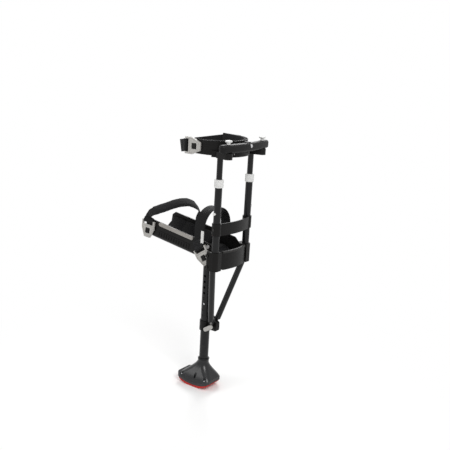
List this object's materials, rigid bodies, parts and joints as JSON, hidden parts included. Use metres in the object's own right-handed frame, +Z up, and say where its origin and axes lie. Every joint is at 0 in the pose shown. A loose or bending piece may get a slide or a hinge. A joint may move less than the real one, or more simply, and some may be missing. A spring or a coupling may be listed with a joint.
{
  "type": "hands free crutch",
  "caption": "Hands-free crutch: knee cup and shin tray on a telescopic leg with a rocker foot, with posts to an adjustable thigh band, and hook-buckle straps.",
  "frame": {"origin": "on the sole's flat, under the leg tube's axis", "axes": "+Z up along the leg tube, +X the way the wearer walks, -Y the outer side, away from the wearer's other leg"},
  "size_m": [0.381, 0.254, 0.8788],
  "materials": {
    "tread_rubber": "grooved red rubber",
    "foot_grey": "grey rubber core",
    "foot_plastic": "moulded, semi-gloss",
    "black_tube": "black anodised",
    "bright_steel": "plain",
    "black_plastic": "moulded, satin",
    "grey_plastic": "moulded, light grey",
    "white_plastic": "moulded, white",
    "trim_grey": "moulded, mid grey",
    "edging_rubber": "soft edging",
    "grip_rubber": "soft-touch grip",
    "pad_fabric": "padded cloth",
    "webbing": "woven webbing"
  },
  "bodies": {
    "frame": {"upper_tube": "black_tube", "tube_head": "black_plastic", "head_bolt": "bright_steel", "head_screws": "bright_steel", "leg_collar": "black_plastic", "apex_bolt": "bright_steel", "clamp_nut": "bright_steel", "strut_outer": "black_tube", "strut_inner": "black_tube", "knee_platform": "black_plastic", "tray_trims": "trim_grey", "cup_edging": "edging_rubber", "shin_pad": "pad_fabric", "knee_pad": "pad_fabric", "side_screws": "bright_steel", "corner_block_outer": "black_plastic", "corner_block_inner": "black_plastic", "block_bolts": "bright_steel", "post_lower_outer": "black_tube", "post_lower_inner": "black_tube", "crossbar": "black_plastic", "crossbar_screws": "bright_steel", "knee_strap": "webbing", "knee_tab": "grey_plastic", "ankle_strap": "webbing", "ankle_sleeve": "pad_fabric", "strap_anchors": "black_plastic", "strap_pegs": "black_plastic"},
    "lower_leg": {"tread": "tread_rubber", "foot_core": "foot_grey", "foot_shell": "foot_plastic", "foot_screws": "bright_steel", "neck_ring": "black_plastic", "leg_tube": "black_tube", "leg_spring": "bright_steel"},
    "leg_button_outer": {"leg_button_outer": "bright_steel"},
    "leg_button_inner": {"leg_button_inner": "bright_steel"},
    "clamp_knob": {"clamp_knob": "grey_plastic", "clamp_screw": "bright_steel"},
    "twist_collar_outer": {"twist_collar_outer": "white_plastic"},
    "twist_collar_inner": {"twist_collar_inner": "white_plastic"},
    "post_button_outer": {"post_button_outer": "white_plastic"},
    "post_button_inner": {"post_button_inner": "white_plastic"},
    "thigh_frame": {"post_upper_outer": "black_tube", "post_upper_inner": "black_tube", "post_bushes": "black_plastic", "thigh_yoke": "black_plastic", "yoke_rivets": "bright_steel", "thigh_band": "black_plastic", "thigh_pad": "pad_fabric", "front_grip": "grip_rubber", "grip_screw": "bright_steel", "thigh_strap": "webbing", "thigh_anchor": "black_plastic", "thigh_peg": "black_plastic"},
    "thumb_knob_outer": {"thumb_knob_outer": "white_plastic"},
    "thumb_knob_inner": {"thumb_knob_inner": "white_plastic"},
    "thigh_buckle": {"thigh_buckle": "grey_plastic"},
    "knee_buckle": {"knee_buckle": "grey_plastic"},
    "ankle_buckle": {"ankle_buckle": "grey_plastic"}
  },
  "joints": [
    {"name": "leg_length", "type": "slide", "parent": "frame", "child": "lower_leg", "axis": [0, 0, 1], "range_m": [-0.04, 0.1]},
    {"name": "leg_button_outer_press", "type": "slide", "parent": "lower_leg", "child": "leg_button_outer", "axis": [0, -1, 0], "range_m": [-0.0015, 0.003], "stiffness_N_per_m": 1500},
    {"name": "leg_button_inner_press", "type": "slide", "parent": "lower_leg", "child": "leg_button_inner", "axis": [0, 1, 0], "range_m": [-0.0015, 0.003], "stiffness_N_per_m": 1500},
    {"name": "clamp_knob_turn", "type": "hinge", "parent": "frame", "child": "clamp_knob", "pos_m": [0.03, 0, 0.223], "axis": [0, -1, 0], "continuous": true},
    {"name": "twist_collar_outer_turn", "type": "hinge", "parent": "frame", "child": "twist_collar_outer", "pos_m": [0.087, -0.0845, 0.7265], "axis": [0, 0, 1], "range_deg": [0, 60]},
    {"name": "twist_collar_inner_turn", "type": "hinge", "parent": "frame", "child": "twist_collar_inner", "pos_m": [0.087, 0.0845, 0.7265], "axis": [0, 0, 1], "range_deg": [0, 60]},
    {"name": "post_button_outer_press", "type": "slide", "parent": "frame", "child": "post_button_outer", "axis": [0, 1, 0], "range_m": [0, 0.003], "stiffness_N_per_m": 1200},
    {"name": "post_button_inner_press", "type": "slide", "parent": "frame", "child": "post_button_inner", "axis": [0, -1, 0], "range_m": [0, 0.003], "stiffness_N_per_m": 1200},
    {"name": "thigh_height", "type": "slide", "parent": "frame", "child": "thigh_frame", "axis": [0, 0, 1], "range_m": [-0.06, 0.06]},
    {"name": "thumb_knob_outer_turn", "type": "hinge", "parent": "thigh_frame", "child": "thumb_knob_outer", "pos_m": [0.1218, -0.0925, 0.87], "axis": [0, 0, 1], "continuous": true},
    {"name": "thumb_knob_inner_turn", "type": "hinge", "parent": "thigh_frame", "child": "thumb_knob_inner", "pos_m": [0.1218, 0.0925, 0.87], "axis": [0, 0, 1], "continuous": true},
    {"name": "thigh_buckle_swing", "type": "hinge", "parent": "thigh_frame", "child": "thigh_buckle", "pos_m": [-0.035, -0.1038, 0.8475], "axis": [0, 0, -1], "range_deg": [0, 70]},
    {"name": "knee_buckle_swing", "type": "hinge", "parent": "frame", "child": "knee_buckle", "pos_m": [0.017, -0.0753, 0.511], "axis": [-0.8192, 0, -0.5736], "range_deg": [0, 70]},
    {"name": "ankle_buckle_swing", "type": "hinge", "parent": "frame", "child": "ankle_buckle", "pos_m": [-0.207, -0.0753, 0.562], "axis": [-0.9962, 0, 0.0872], "range_deg": [0, 70]}
  ]
}
